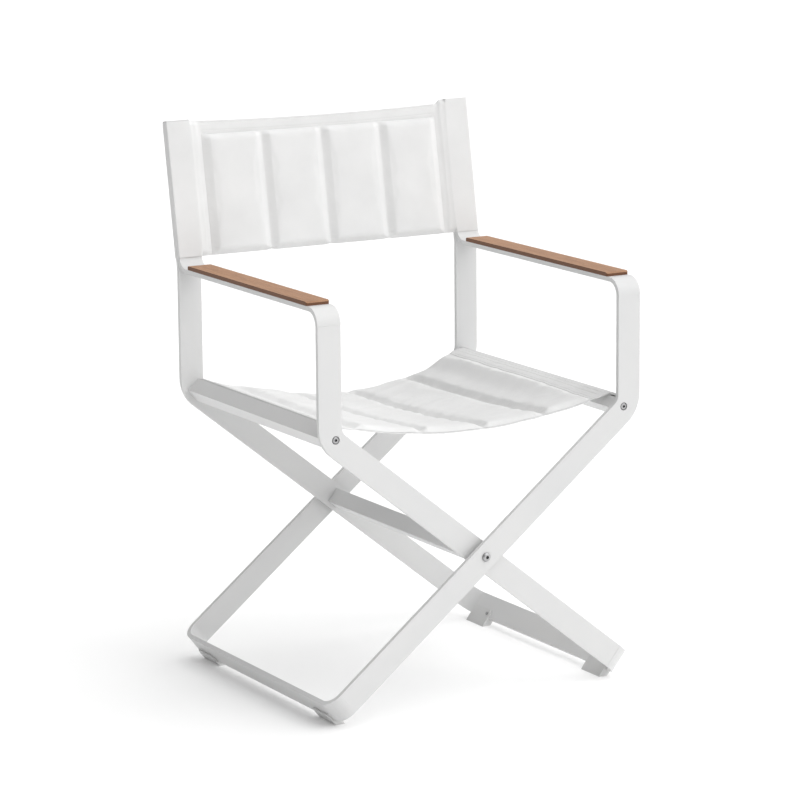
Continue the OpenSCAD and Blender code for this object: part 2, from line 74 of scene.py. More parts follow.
# ---------- material helpers ----------
class Shader:
    """A Principled material and short ways to add nodes to it."""

    def __init__(self, name, color, roughness, **inputs):
        self.mat = bpy.data.materials.new(name)
        self.mat.use_nodes = True
        self.tree = self.mat.node_tree
        self.bsdf = self.tree.nodes["Principled BSDF"]
        self.bsdf.inputs["Base Color"].default_value = (*color, 1)
        self.bsdf.inputs["Roughness"].default_value = roughness
        for key, value in inputs.items():
            self.bsdf.inputs[key].default_value = value

    def node(self, kind, settings=None, **inputs):
        n = self.tree.nodes.new("ShaderNode" + kind)
        for key, value in (settings or {}).items():
            setattr(n, key, value)
        for key, value in inputs.items():
            self.put(n.inputs[key.replace("_", " ")], value)
        return n

    def put(self, socket, value):
        if isinstance(value, bpy.types.NodeSocket):
            self.tree.links.new(value, socket)
        else:
            socket.default_value = value

    def math(self, operation, a, b=0.0, c=0.0):
        n = self.node("Math", {"operation": operation})
        for socket, value in zip(n.inputs, (a, b, c)):
            self.put(socket, value)
        return n.outputs[0]

    def coords(self, scale=(1, 1, 1)):
        """Object coordinates: they stay on the piece as it moves."""
        where = self.node("TexCoord").outputs["Object"]
        return self.node("Mapping", Vector=where, Scale=scale).outputs[0]

    def noise(self, scale, detail=2.0, stretch=(1, 1, 1), roughness=0.5):
        return self.node("TexNoise", Vector=self.coords(stretch), Scale=scale, Detail=detail,
                         Roughness=roughness).outputs["Fac"]

    def ramp(self, value, *stops):
        n = self.node("ValToRGB", Fac=value)
        ends = n.color_ramp.elements
        while len(ends) < len(stops):
            ends.new(0.5)
        for end, (at, color) in zip(ends, stops):
            end.position = at
            end.color = (*color, 1)
        return n.outputs["Color"]

    def mix(self, fac, a, b):
        n = self.node("Mix", {"data_type": "RGBA"})
        for index, value in ((0, fac), (6, a), (7, b)):
            self.put(n.inputs[index], value)
        return n.outputs[2]

    def bump(self, height, distance, strength):
        return self.node("Bump", Height=height, Distance=distance, Strength=strength).outputs[0]

    def set(self, socket, value):
        self.put(self.bsdf.inputs[socket], value)


def powder_coat():
    """White textured powder coat, a little greyer and smoother where hands rub it."""
    s = Shader("powder_coat", (0.67, 0.67, 0.668), 0.42, **{"Specular IOR Level": 0.45})
    broad = s.noise(6, 3)
    s.set("Base Color", s.ramp(broad, (0.3, (0.66, 0.662, 0.662)), (0.7, (0.685, 0.684, 0.68))))
    fine = s.noise(900, 2)
    s.set("Roughness", s.math("MULTIPLY_ADD", s.noise(260, 3), 0.14, 0.36))
    s.set("Normal", s.bump(fine, 0.00006, 0.5))
    return s.mat


def teak():
    """Oiled teak with straight grain along the arm; faces that point less upwards get a darker brown, painted
    shade.
    """
    s = Shader("teak", (0.4, 0.24, 0.15), 0.55, **{"Specular IOR Level": 0.3})
    fibre = s.noise(60, 6, (14, 0.5, 14), 0.6)
    band = s.noise(22, 3, (3.2, 0.16, 3.2), 0.5)
    pores = s.noise(240, 2, (9, 0.32, 9), 0.5)
    base = s.ramp(band, (0.32, (0.29, 0.137, 0.062)), (0.5, (0.335, 0.163, 0.077)),
                  (0.68, (0.385, 0.194, 0.096)))
    pale = s.ramp(fibre, (0.4, (0, 0, 0)), (0.62, (1, 1, 1)))
    streak = s.mix(pale, base, (0.45, 0.243, 0.132, 1))
    dark = s.ramp(pores, (0.3, (1, 1, 1)), (0.42, (0, 0, 0)))
    top = s.mix(s.math("MULTIPLY", dark, 0.65), streak, (0.16, 0.073, 0.035, 1))
    # painted shade: sides and undersides get a dark brown by their normal, standing in for the shade they lie in
    painted_shade_normal_z = s.node("SeparateXYZ", Vector=s.node("TexCoord").outputs["Normal"]).outputs["Z"]
    up = s.node("MapRange", Value=painted_shade_normal_z, From_Min=0.35, From_Max=0.85).outputs["Result"]
    side = s.mix(fibre, (0.12, 0.05, 0.024, 1), (0.2, 0.09, 0.045, 1))
    # mixes the top colour with the painted shade of the sides
    s.set("Base Color", s.mix(up, side, top))
    s.set("Roughness", s.math("MULTIPLY_ADD", fibre, 0.2, 0.42))
    s.set("Normal", s.bump(pores, 0.00015, 0.5))
    return s.mat


def steel():
    """Stainless screws, brushed in turning, with painted shade darkening their sockets."""
    s = Shader("steel", (0.5, 0.5, 0.5), 0.32, Metallic=1.0)
    s.set("Roughness", s.math("MULTIPLY_ADD", s.noise(700, 2), 0.2, 0.24))
    # painted shade: an ambient occlusion mask turns the steel near black in sockets and hollows
    socket_occlusion_for_shade = s.node("AmbientOcclusion", Distance=0.004).outputs["AO"]
    clean = s.ramp(s.noise(90, 3), (0.3, (0.36, 0.36, 0.37)), (0.7, (0.5, 0.5, 0.5)))
    painted_socket_shade_mask = s.ramp(socket_occlusion_for_shade, (0.45, (0.02, 0.02, 0.02)), (0.9, (1, 1, 1)))
    s.set("Base Color", s.mix(painted_socket_shade_mask, (0.03, 0.03, 0.03, 1), clean))
    s.set("Normal", s.bump(s.noise(1400, 1, (1, 6, 1)), 0.00003, 0.5))
    return s.mat


def nylon(name, color, glow):
    """Moulded nylon, faintly translucent, with a fine matte skin."""
    s = Shader(name, color, 0.4, **{"Subsurface Weight": glow, "Subsurface Scale": 0.006})
    s.bsdf.inputs["Subsurface Radius"].default_value = (1, 1, 1)
    light = tuple(min(1, c * 1.05) for c in color)
    s.set("Base Color", s.ramp(s.noise(35, 3), (0.3, color), (0.7, light)))
    s.set("Roughness", s.math("MULTIPLY_ADD", s.noise(400, 2), 0.16, 0.3))
    s.set("Normal", s.bump(s.noise(1100, 1), 0.00004, 0.5))
    return s.mat


POWDER, TEAK, STEEL = powder_coat(), teak(), steel()
GLIDE = nylon("glide_nylon", (0.62, 0.62, 0.615), 0.1)
BUSH = nylon("bush_nylon", (0.7, 0.7, 0.68), 0.2)
BY_SLOT = {"frame_white": POWDER, "teak": TEAK, "steel": STEEL, "glide": GLIDE, "bush": BUSH}


# ---------- CAD nodes: materials and softened edges ----------
EDGE = {"frame_white": 0.0007, "teak": 0.0009, "glide": 0.0008, "steel": 0.00025, "bush": 0.0004}
SLOT_OF = {p["node"]: p["material_slot"] for p in frame["record"]["subparts"]}
WELD_WITHIN = 0.00001
FLAT_ANGLE, SHARP_ANGLE = math.radians(0.5), math.radians(35)


def soften(obj, width):
    """Rounds a node's sharp edges: weld, merge coplanar triangles, bevel, even out normals."""
    weld = obj.modifiers.new("weld", "WELD")
    weld.merge_threshold = WELD_WITHIN
    flat = obj.modifiers.new("flat", "DECIMATE")
    flat.decimate_type = "DISSOLVE"
    flat.angle_limit = FLAT_ANGLE
    bevel = obj.modifiers.new("bevel", "BEVEL")
    bevel.width, bevel.segments = width, 2
    bevel.limit_method, bevel.angle_limit = "ANGLE", SHARP_ANGLE
    even = obj.modifiers.new("even", "WEIGHTED_NORMAL")
    even.keep_sharp = False


def finish_node(node, obj):
    slot_name = SLOT_OF[node]
    if slot_name in BY_SLOT:
        obj.data.materials.clear()
        obj.data.materials.append(BY_SLOT[slot_name])
        soften(obj, EDGE[slot_name])


for node_name, node_object in NODES.items():
    finish_node(node_name, node_object)


# ---------- fabric: shared tools ----------
# distances from a seam at which a fabric grid has a line
NEAR_SEAM = (0.0, 0.0018, 0.004, 0.007, 0.0102, 0.0124, 0.0142, 0.017)
# the flanks at a channel's ends are this many times as steep as those at its sides
END_STEEP = 1.9
# the cloth simulation of the padding: pressure, furthest move, steps, slack and stiffness
PRESSURE, MOVE_CAP, STEPS, SLACK, STIFFNESS = 1.5, 0.0009, 16, 0.004, 6.0
# a stitch
STITCH_LENGTH, STITCH_WIDTH, STITCH_HEIGHT, STITCH_STEP = 0.0026, 0.0008, 0.00035, 0.0034


def smooth(t):
    t = np.clip(t, 0, 1)
    return t * t * (3 - 2 * t)


def soft_min(a, b, blur):
    h = np.clip(blur - np.abs(a - b), 0, None) / blur
    return np.minimum(a, b) - h * h * blur / 4


def waver(x, y, seed, scale):
    """Smooth noise in -1..1 that varies over about 1/scale metres."""
    spot = np.stack(np.broadcast_arrays(x * scale + seed * 7.31, y * scale - seed * 3.17), -1)
    flat = spot.reshape(-1, 2)
    values = [noise.noise(Vector((a, b, seed * 1.7))) for a, b in flat]
    return np.array(values).reshape(spot.shape[:-1])


def lines(stops, step):
    """Positions that crowd together beside each stop and are about step apart between."""
    out = []
    for a, b in zip(stops, stops[1:]):
        near = [d for d in NEAR_SEAM if d < (b - a) / 2 - step / 4]
        first, last = a + near[-1], b - near[-1]
        count = max(1, round((last - first) / step))
        out += [a + d for d in near] + list(np.linspace(first, last, count + 1)[1:-1])
        out += [b - d for d in reversed(near[1:])]
    return np.array(out + [stops[-1]])


def shell(name, front, back, u, v, closed=False):
    """A closed mesh from a front and a back grid of points, with UVs in metres of cloth."""
    n, m = front.shape[:2]
    verts = np.concatenate([front.reshape(-1, 3), back.reshape(-1, 3)])
    ids = np.arange(n * m).reshape(n, m)
    ids = np.concatenate([ids, ids[:1]]) if closed else ids
    under = ids + n * m
    columns = n if closed else n - 1
    faces, corners = [], []

    def quad(a, b, c, d, where):
        faces.append((a, b, c, d))
        corners.extend(where)

    for i in range(columns):
        for j in range(m - 1):
            box = [(u[i], v[j]), (u[i + 1], v[j]), (u[i + 1], v[j + 1]), (u[i], v[j + 1])]
            quad(ids[i, j], ids[i + 1, j], ids[i + 1, j + 1], ids[i, j + 1], box)
            quad(under[i, j + 1], under[i + 1, j + 1], under[i + 1, j], under[i, j], box[::-1])
        for j in (0, m - 1):
            side = [(u[i], v[j]), (u[i], v[j]), (u[i + 1], v[j]), (u[i + 1], v[j])]
            quad(ids[i, j], under[i, j], under[i + 1, j], ids[i + 1, j], side)
    if not closed:
        for i in (0, n - 1):
            for j in range(m - 1):
                side = [(u[i], v[j]), (u[i], v[j + 1]), (u[i], v[j + 1]), (u[i], v[j])]
                quad(ids[i, j], ids[i, j + 1], under[i, j + 1], under[i, j], side)
    mesh = bpy.data.meshes.new(name)
    mesh.from_pydata([tuple(p) for p in verts], [], faces)
    layer = mesh.uv_layers.new(name="cloth")
    layer.data.foreach_set("uv", np.array(corners, float).ravel())
    return finish_mesh(name, mesh)


def finish_mesh(name, mesh):
    work = bmesh.new()
    work.from_mesh(mesh)
    bmesh.ops.recalc_face_normals(work, faces=work.faces)
    work.to_mesh(mesh)
    work.free()
    mesh.polygons.foreach_set("use_smooth", [True] * len(mesh.polygons))
    obj = bpy.data.objects.new(name, mesh)
    bpy.context.scene.collection.objects.link(obj)
    return obj


def refine(obj):
    sub = obj.modifiers.new("fine", "SUBSURF")
    sub.levels = sub.render_levels = 1


def inflate(obj, loose):
    """Lets the loose points of a sewn pad swell as cloth, and keeps the shape they reach."""
    start = np.empty(len(obj.data.vertices) * 3)
    obj.data.vertices.foreach_get("co", start)
    held = obj.vertex_groups.new(name="held")
    held.add([int(i) for i in np.flatnonzero(~loose)], 1.0, "REPLACE")
    cloth = obj.modifiers.new("cloth", "CLOTH")
    cloth.settings.vertex_group_mass = "held"
    cloth.settings.use_pressure = True
    cloth.settings.uniform_pressure_force = PRESSURE
    cloth.settings.effector_weights.gravity = 0
    cloth.settings.shrink_min = -SLACK
    cloth.settings.bending_stiffness = STIFFNESS
    cloth.settings.quality = 6
    cloth.collision_settings.use_collision = False
    scene = bpy.context.scene
    for number in range(1, STEPS + 1):
        scene.frame_set(number)
    swollen = obj.evaluated_get(bpy.context.evaluated_depsgraph_get())
    ends = np.empty_like(start)
    swollen.data.vertices.foreach_get("co", ends)
    obj.modifiers.remove(cloth)
    obj.vertex_groups.remove(held)
    scene.frame_set(1)
    move = (ends - start).reshape(-1, 3)
    far = np.linalg.norm(move, axis=1, keepdims=True)
    move *= np.minimum(1, MOVE_CAP / np.maximum(far, 1e-9))
    obj.data.vertices.foreach_set("co", start + move.ravel())
    obj.data.update()


def off_seams(inset):
    """The points of a pad's shell that may move: its top, away from the seams."""
    return np.concatenate([inset.ravel() > 0.0024, np.zeros(inset.size, bool)])


def dress(obj, material, slot_name, *nodes):
    obj.data.materials.append(material)
    if nodes:
        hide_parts(*nodes)


def across_fold(obj):
    """Bakes the object's placement into its mesh."""
    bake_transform(obj)


def threads(name, runs):
    """Rows of stitches. Each run is (points, normals): a stitch lies at every second step."""
    ring = [(math.cos(a), math.sin(a)) for a in np.linspace(0, 2 * math.pi, 7)[:-1]]
    verts, faces = [], []
    for points, normals in runs:
        for k in range(len(points) - 1):
            along = points[k + 1] - points[k]
            along = along / np.linalg.norm(along)
            out = normals[k]
            side = np.cross(out, along)
            base = len(verts)
            middle = (points[k] + points[k + 1]) / 2
            verts.append(middle - along * STITCH_LENGTH / 2)
            for at in (-0.32, 0.32):
                for c, s in ring:
                    verts.append(middle + along * (at * STITCH_LENGTH)
                                 + side * (c * STITCH_WIDTH / 2) + out * (s * STITCH_HEIGHT))
            verts.append(middle + along * STITCH_LENGTH / 2)
            for q in range(6):
                w = (q + 1) % 6
                faces.append((base, base + 1 + w, base + 1 + q))
                faces.append((base + 1 + q, base + 1 + w, base + 7 + w, base + 7 + q))
                faces.append((base + 13, base + 7 + q, base + 7 + w))
    mesh = bpy.data.meshes.new(name)
    mesh.from_pydata([tuple(p) for p in verts], [], faces)
    return finish_mesh(name, mesh)


def rounded_inset(u, v, u_stops, v_low, v_high, r_low, r_high):
    """How far each point is inside its own channel, whose outline has rounded corners.

    Lengths along v count END_STEEP times, so the flanks at the channel's ends are steeper."""
    best = np.full(np.broadcast(u, v).shape, -1.0)
    for a, b in zip(u_stops, u_stops[1:]):
        r = np.where(v > (v_low + v_high) / 2, r_high, r_low)
        qx = np.abs(u - (a + b) / 2) - ((b - a) / 2 - r)
        qy = END_STEEP * (np.abs(v - (v_low + v_high) / 2) - (v_high - v_low) / 2) + r
        outside = np.hypot(np.maximum(qx, 0), np.maximum(qy, 0))
        away = outside + np.minimum(np.maximum(qx, qy), 0) - r
        best = np.maximum(best, -away)
    return best


def pad_height(inset, along, tall, flank, crown, half, seed):
    """Flat-topped padding with sloping flanks, a slight crown and puckers beside the seams."""
    rise = soft_min(inset / flank, 1.0, 0.16) * tall
    swell = crown * smooth(inset / half)
    wave = np.sin(along * (2 * math.pi / 0.0105) + 2.2 * waver(along, inset * 0, seed, 30))
    pucker = 0.00028 * wave * np.exp(-(((inset - 0.004) / 0.004) ** 2))
    return np.clip(np.maximum(rise, 0) + swell + pucker, 0.0004, None)


# ---------- materials of the fabric ----------
def woven(name, color, sheen, depth):
    """Outdoor canvas: a fine plain weave that follows the cloth, with slight colour changes."""
    s = Shader(name, color, 0.8, **{"Specular IOR Level": 0.25, "Sheen Weight": sheen,
                                    "Sheen Roughness": 0.5})
    uv = s.node("TexCoord").outputs["UV"]
    warp, weft = (s.node("TexWave", {"bands_direction": way}, Vector=uv, Scale=310.0,
                         Distortion=0.6, Detail=1.0).outputs["Fac"] for way in ("X", "Y"))
    weave = s.math("MAXIMUM", warp, s.math("MULTIPLY", weft, 0.92))
    slub = s.node("TexNoise", Vector=s.node("Mapping", Vector=uv, Scale=(60, 900, 1)).outputs[0],
                  Scale=1.0, Detail=2.0).outputs["Fac"]
    broad = s.node("TexNoise", Vector=uv, Scale=14.0, Detail=3.0).outputs["Fac"]
    light = tuple(min(1, c * 1.03) for c in color)
    dark = tuple(c * 0.965 for c in color)
    tint = s.ramp(broad, (0.3, dark), (0.7, light))
    thread = s.math("MULTIPLY_ADD", weave, -0.1, 0.1)
    s.set("Base Color", s.mix(thread, tint, (0.5, 0.5, 0.5, 1)))
    s.set("Roughness", s.math("MULTIPLY_ADD", slub, 0.2, 0.68))
    height = s.math("ADD", s.math("MULTIPLY", weave, 0.7), s.math("MULTIPLY", slub, 0.5))
    s.set("Normal", s.bump(height, depth, 0.7))
    return s.mat


CANVAS = woven("canvas", (0.745, 0.745, 0.742), 0.15, 0.00012)
PADDED = woven("padded_cover", (0.75, 0.75, 0.747), 0.2, 0.0001)


def thread_material():
    s = Shader("thread", (0.82, 0.82, 0.81), 0.5, **{"Sheen Weight": 0.2})
    twist = s.noise(1500, 1, (1, 1, 2.5))
    s.set("Base Color", s.ramp(twist, (0.3, (0.74, 0.74, 0.73)), (0.7, (0.86, 0.86, 0.85))))
    s.set("Roughness", s.math("MULTIPLY_ADD", twist, 0.3, 0.4))
    s.set("Normal", s.bump(twist, 0.00008, 0.6))
    return s.mat


THREAD = thread_material()


# ---------- seat ----------
SEAT_EDGE = 0.249
SEAT_HALF = 0.222
SEAT_SEAMS = (-0.206, -0.095, 0.016, 0.127, 0.216)
SEAT_UNDER = 0.2274  # the cloth's underside at the rails, above the pivot
SEAT_CLOTH = 0.002
SAG, SAG_TILT, SAG_BOWL = 0.0400, 0.0090, 0.008
PAD_TALL = 0.0076
HEM_ROWS = (0.0055, 0.0145)
HEM_SLOPE = 0.11
SEAM_SLANT = 0.008


def seat_depth(y):
    """Sag in the middle of the seat: deeper at the rear, with a bowl halfway."""
    return SAG + SAG_TILT * y / SEAT_HALF + SAG_BOWL * (1 - (y / SEAT_HALF) ** 2)


def seat_drop(x, y):
    """How far the seat sags below its edges.

    The cloth is pulled tighter at the left rear, and the right hem lies nearly level."""
    rearwards = smooth((y + SEAT_HALF) / (2 * SEAT_HALF))
    tight = 0.0045 * smooth(1 - np.abs(x + 0.13) / 0.115) * rearwards
    drop = seat_depth(y) * (1 - (x / SEAT_EDGE) ** 2)
    level = smooth((x - 0.165) / 0.065) * smooth((y + SEAT_HALF) / 0.16)
    return drop - level * np.maximum(drop - HEM_SLOPE * (SEAT_EDGE - x), 0) - tight


def seat_ripple(x, y):
    """Faint wrinkles across the channels, and none where the cloth enters the rails."""
    calm = smooth((SEAT_EDGE - np.abs(x)) / 0.03)
    along, across = x + 0.3 * y, y - 0.3 * x
    ridge = np.exp(-((waver(along * 0.22, across, 3, 30) / 0.3) ** 2))
    return calm * (0.0013 * (ridge - 0.5) + 0.0007 * waver(x, y, 6, 9))


def seat_notch(x, y):
    """The front and rear edges draw in at each seam, and the rear one flares at the rails."""
    off = np.min([np.abs(x - seam) for seam in SEAT_SEAMS], axis=0)
    near = smooth(1 - (SEAT_HALF - np.abs(y)) / 0.03)
    flare = np.where(x > 0, 0.014, 0.005) * smooth((np.abs(x) - 0.205) / 0.04) * (y > 0)
    return np.sign(y) * near * (flare - 0.0024 * np.exp(-((off / 0.007) ** 2)))


def seat_point(x, y, height):
    """Points at a height over the cloth's underside, and the directions outwards there."""
    z = SEAT_UNDER - seat_drop(x, y) + seat_ripple(x, y)
    slope_x = 2 * seat_depth(y) * x / SEAT_EDGE ** 2
    steep = SAG_TILT / SEAT_HALF - 2 * SAG_BOWL * y / SEAT_HALF ** 2
    slope_y = -steep * (1 - (x / SEAT_EDGE) ** 2)
    out = np.stack(np.broadcast_arrays(-slope_x, -slope_y, 1.0), -1)
    out /= np.linalg.norm(out, axis=-1, keepdims=True)
    spot = np.stack(np.broadcast_arrays(x, y + seat_notch(x, y), z), -1)
    return spot + out * np.asarray(height)[..., None] + np.array(PIVOT), out


def slanted(u, y):
    """The left outer seam lies nearer the rail at the front than at the rear; the rest stays."""
    outer, inner = -SEAT_SEAMS[0], -SEAT_SEAMS[1]
    side = np.abs(u)
    towards_seam = np.clip((side - inner) / (outer - inner), 0, 1)
    towards_rail = np.clip((SEAT_EDGE - side) / (SEAT_EDGE - outer), 0, 1)
    return u + SEAM_SLANT * (u < 0) * (towards_seam * towards_rail) * y / SEAT_HALF


def beyond_seam(u):
    """Distance outside the outer channels' seams, negative over the channels."""
    return np.maximum(u - SEAT_SEAMS[-1], SEAT_SEAMS[0] - u)


def seat_cloth_height(u, y):
    """Top of the base cloth: hems and a welt beside the outer seams, a thin folded edge."""
    off = beyond_seam(u)
    welt = 0.0012 * np.exp(-(((off - 0.0022) / 0.0016) ** 2))
    hem = 0.0008 * smooth((off - 0.0045) / 0.002)
    inwards = SEAT_EDGE - np.abs(u)
    rows = -0.0002 * sum(np.exp(-(((inwards - at) / 0.0011) ** 2)) for at in HEM_ROWS)
    edge = -0.0007 * smooth(1 - (SEAT_HALF - np.abs(y)) / 0.0012)
    zone = np.where(u > 0, SEAT_EDGE - SEAT_SEAMS[-1], SEAT_EDGE + SEAT_SEAMS[0])
    lift = 0.0005 * smooth(off / zone)
    return SEAT_CLOTH + welt + hem + lift + rows * (off > 0.003) + edge


def make_seat_cloth():
    tuck = SEAT_EDGE + 0.0022
    left = -np.linspace(tuck, -SEAT_SEAMS[0] + 0.0006, 32)
    right = np.linspace(SEAT_SEAMS[-1] + 0.0006, tuck, 26)
    u = np.concatenate([left, lines(SEAT_SEAMS, 0.0065), right])
    v = lines((-SEAT_HALF, SEAT_HALF), 0.0065)
    grid_u, grid_v = np.meshgrid(u, v, indexing="ij")
    x = slanted(grid_u, grid_v)
    top, _ = seat_point(x, grid_v, seat_cloth_height(grid_u, grid_v))
    low, _ = seat_point(x, grid_v, np.zeros_like(x))
    cloth = shell("seat_cloth", top, low, u, v)
    refine(cloth)
    dress(cloth, CANVAS, "canvas", "seat_sling")
    across_fold(cloth)


def make_seat_pads():
    pad_end = SEAT_HALF - 0.0012
    u = lines(SEAT_SEAMS, 0.005)
    v = lines((-pad_end, pad_end), 0.0055)
    grid_u, grid_v = np.meshgrid(u, v, indexing="ij")
    inset = rounded_inset(grid_u, grid_v, SEAT_SEAMS, -pad_end, pad_end, 0.006, 0.006)
    x = slanted(grid_u, grid_v)
    tall = pad_height(inset, grid_v, PAD_TALL, 0.0128, 0.0004, 0.055, 5)
    tall = tall * (0.4 + 0.6 * smooth((SEAT_HALF - grid_v) / 0.07))
    top, _ = seat_point(x, grid_v, SEAT_CLOTH + tall)
    low, _ = seat_point(x, grid_v, np.full_like(x, SEAT_CLOTH + 0.0001))
    pads = shell("seat_pads", top, low, u, v)
    inflate(pads, off_seams(inset))
    refine(pads)
    dress(pads, PADDED, "padding", "seat_padding")
    across_fold(pads)


def make_seat_stitching():
    runs = []
    steps = np.arange(-0.216, 0.216, STITCH_STEP)
    for seam in SEAT_SEAMS[1:-1]:
        at = np.full_like(steps, seam)
        runs.append(seat_point(at, steps, SEAT_CLOTH + 0.0005))
    for at in HEM_ROWS:
        for side in (-1, 1):
            row = np.full_like(steps, side * (SEAT_EDGE - at))
            if beyond_seam(row[0]) > 0.006:
                height = seat_cloth_height(row, steps) + 0.0002
                runs.append(seat_point(slanted(row, steps), steps, height))
    stitching = threads("seat_stitching", runs)
    dress(stitching, THREAD, "canvas")
    across_fold(stitching)


# ---------- back ----------
# along the leaning posts r runs from front to rear and s upwards, from LEAN_ORIGIN
LEAN = math.radians(9.8)
LEAN_ORIGIN = np.array((0.0, 0.253, 0.410))
R_AXIS = np.array((0.0, math.cos(LEAN), -math.sin(LEAN)))
S_AXIS = np.array((0.0, math.sin(LEAN), math.cos(LEAN)))
BACK_LOW, BACK_HIGH = 0.0195, 0.2385
BACK_SEAMS = (-0.222, -0.112, 0.0, 0.112, 0.222)
PADS_LOW, PADS_HIGH = 0.0202, 0.2165
BACK_ROWS = (BACK_HIGH - 0.0038, BACK_HIGH - 0.0165)
WEB_HALF, CLOTH_HALF = 0.0010, 0.0004
SLEEVE_SEAM = 0.222
SLEEVE_GAP = 0.0007
POST_NEAR, POST_FAR = 0.245, 0.285
POST_FACES = {1: (-0.014, 0.0), -1: (-0.02977, -0.01577)}  # front and rear, by side


def web_middle(x):
    """Where the web between the posts lies in r: the left post stands further forwards."""
    return -0.0155 + 0.013 * x / 0.4886


def back_shift(x, s):
    """Change in s: the top edge droops, the lower one is drawn up at each seam, and the right
    sleeve reaches over the post's tip."""
    across = np.clip((x + SEAT_EDGE) / (2 * SEAT_EDGE), 0, 1)
    nested = -0.00272 * (1 - across) - 0.0035 * across
    share = np.clip((s - BACK_LOW) / (BACK_HIGH - BACK_LOW), 0, 1)
    droop = -0.0045 * np.clip(1 - (x / 0.243) ** 2, 0, 1) * smooth(share)
    off = np.min([np.abs(x - seam) for seam in BACK_SEAMS[1:-1]], axis=0)
    notch = 0.0014 * np.exp(-((off / 0.006) ** 2)) * smooth(1 - share / 0.08)
    tip = 0.0062 * smooth((x - 0.226) / 0.012) * smooth((s - 0.19) / 0.045)
    return nested + droop + notch + tip


def back_point(x, r, s):
    s = s + back_shift(x, s)
    spot = np.stack(np.broadcast_arrays(x, 0.0, 0.0), -1) * 1.0
    spot = spot + LEAN_ORIGIN + r[..., None] * R_AXIS + s[..., None] * S_AXIS
    return spot + np.array(PIVOT)


def sleeve_points(side):
    """The sleeve's outline round one post, from the front seam to the rear one.

    Each point is (x, r, how far its bend reaches)."""
    seam, halfway = side * SLEEVE_SEAM, side * 0.2315
    near, far = side * (POST_NEAR - SLEEVE_GAP), side * (POST_FAR + SLEEVE_GAP)
    front, rear = POST_FACES[side][0] - SLEEVE_GAP, POST_FACES[side][1] + SLEEVE_GAP
    middle = web_middle(seam)
    return [(seam, middle - 0.0006, 0), (halfway, 0.5 * (middle + front) - 0.0003, 0.02),
            (near, front, 0.0022), (far, front, 0.0016), (far, rear, 0.0016), (near, rear, 0.0022),
            (halfway, 0.5 * (middle + rear) + 0.0002, 0.02), (seam, middle + 0.0006, 0)]


def back_path():
    """The cloth's closed outline seen from above, with rounded bends: (x, r) points."""
    right = sleeve_points(1)
    left = sleeve_points(-1)[::-1]
    keys = right + left
    out = []
    for k, (x, r, bend) in enumerate(keys):
        here = Vector((x, r))
        before, after = Vector(keys[k - 1][:2]), Vector(keys[(k + 1) % len(keys)][:2])
        to_a, to_b = (before - here), (after - here)
        reach = min(bend, to_a.length * 0.45, to_b.length * 0.45)
        if reach <= 0:
            out.append(here)
            continue
        a, b = here + to_a.normalized() * reach, here + to_b.normalized() * reach
        out += [a.lerp(here, t).lerp(here.lerp(b, t), t) for t in np.linspace(0, 1, 6)]
    dense = []
    for a, b in zip(out, out[1:] + out[:1]):
        count = max(1, round((b - a).length / 0.0035))
        dense += [a.lerp(b, t) for t in np.linspace(0, 1, count + 1)[:-1]]
    return np.array([tuple(p) for p in dense])


def heights():
    """The rows of the cloth in s, closer together at the two edges and in the upper hem."""
    return np.concatenate([[BACK_LOW, BACK_LOW + 0.0008],
                           np.linspace(BACK_LOW + 0.0022, BACK_HIGH - 0.03, 46),
                           np.linspace(BACK_HIGH - 0.0275, BACK_HIGH - 0.0022, 15),
                           [BACK_HIGH - 0.0008, BACK_HIGH]])


def pinched(x, r, s):
    """At the sleeves' ends the two layers beside the post are drawn together."""
    ends = smooth(1 - np.minimum(s - BACK_LOW, BACK_HIGH - s) / 0.007)
    beside = smooth((0.2443 - np.abs(x)) / 0.0016)
    front_layer = np.sign(web_middle(x) - r) * 0.0005
    post_middle = np.where(x > 0, -0.007, -0.02277)
    share = np.clip((np.abs(x) - SLEEVE_SEAM) / 0.021, 0, 1)
    closed_r = web_middle(x) * (1 - share) + post_middle * share - front_layer
    return r + (closed_r - r) * ends * beside * (np.abs(x) > SLEEVE_SEAM + 0.0002)


def sleeve_waves(x, s):
    """Creases beside the post and a looser, broader wave, both only next to the sleeve seam."""
    tent = smooth((np.abs(x) - SLEEVE_SEAM) / 0.006) * smooth((0.2455 - np.abs(x)) / 0.006)
    creases = 0.0003 * tent * np.sin((np.abs(x) - SLEEVE_SEAM) * 2 * math.pi / 0.0092
                                     + 2.6 * waver(x * 6, s, 4, 16))
    loose = 0.0005 * waver(x, s, 9, 34)
    return creases, loose * tent


def hem_puff(x, r, s, out):
    """The folded hem along the upper edge stands proud between its two rows of stitches."""
    front = (np.abs(out[:, 1:]) > 0.6) * (r < web_middle(x))
    hem = front * (np.abs(x) < 0.2225) * smooth((s - (BACK_HIGH - 0.0192)) / 0.0012)
    rows = sum(np.exp(-(((s - at) / 0.0011) ** 2)) for at in BACK_ROWS)
    return hem * (0.0011 - 0.0009 * rows)


def make_back_cloth():
    path = back_path()
    ahead, behind = np.roll(path, -1, 0), np.roll(path, 1, 0)
    way = ahead - behind
    way /= np.linalg.norm(way, axis=1, keepdims=True)
    out = np.stack([way[:, 1], -way[:, 0]], -1)
    s = heights()
    x, r = path[:, :1] + 0 * s, path[:, 1:] + 0 * s
    grid_s = s[None, :] + 0 * x
    r = pinched(x, r, grid_s)
    creases, loose = sleeve_waves(x, grid_s)
    outer = CLOTH_HALF + creases + loose + hem_puff(x, r, grid_s, out)
    inner = -CLOTH_HALF + creases + loose
    faces = [back_point(x + out[:, :1] * d, r + out[:, 1:] * d, grid_s) for d in (outer, inner)]
    arc = np.concatenate([[0], np.cumsum(np.linalg.norm(ahead - path, axis=1))])
    cloth = shell("back_cloth", faces[0], faces[1], arc, s, closed=True)
    refine(cloth)
    dress(cloth, CANVAS, "canvas", "back_sling")
    across_fold(cloth)


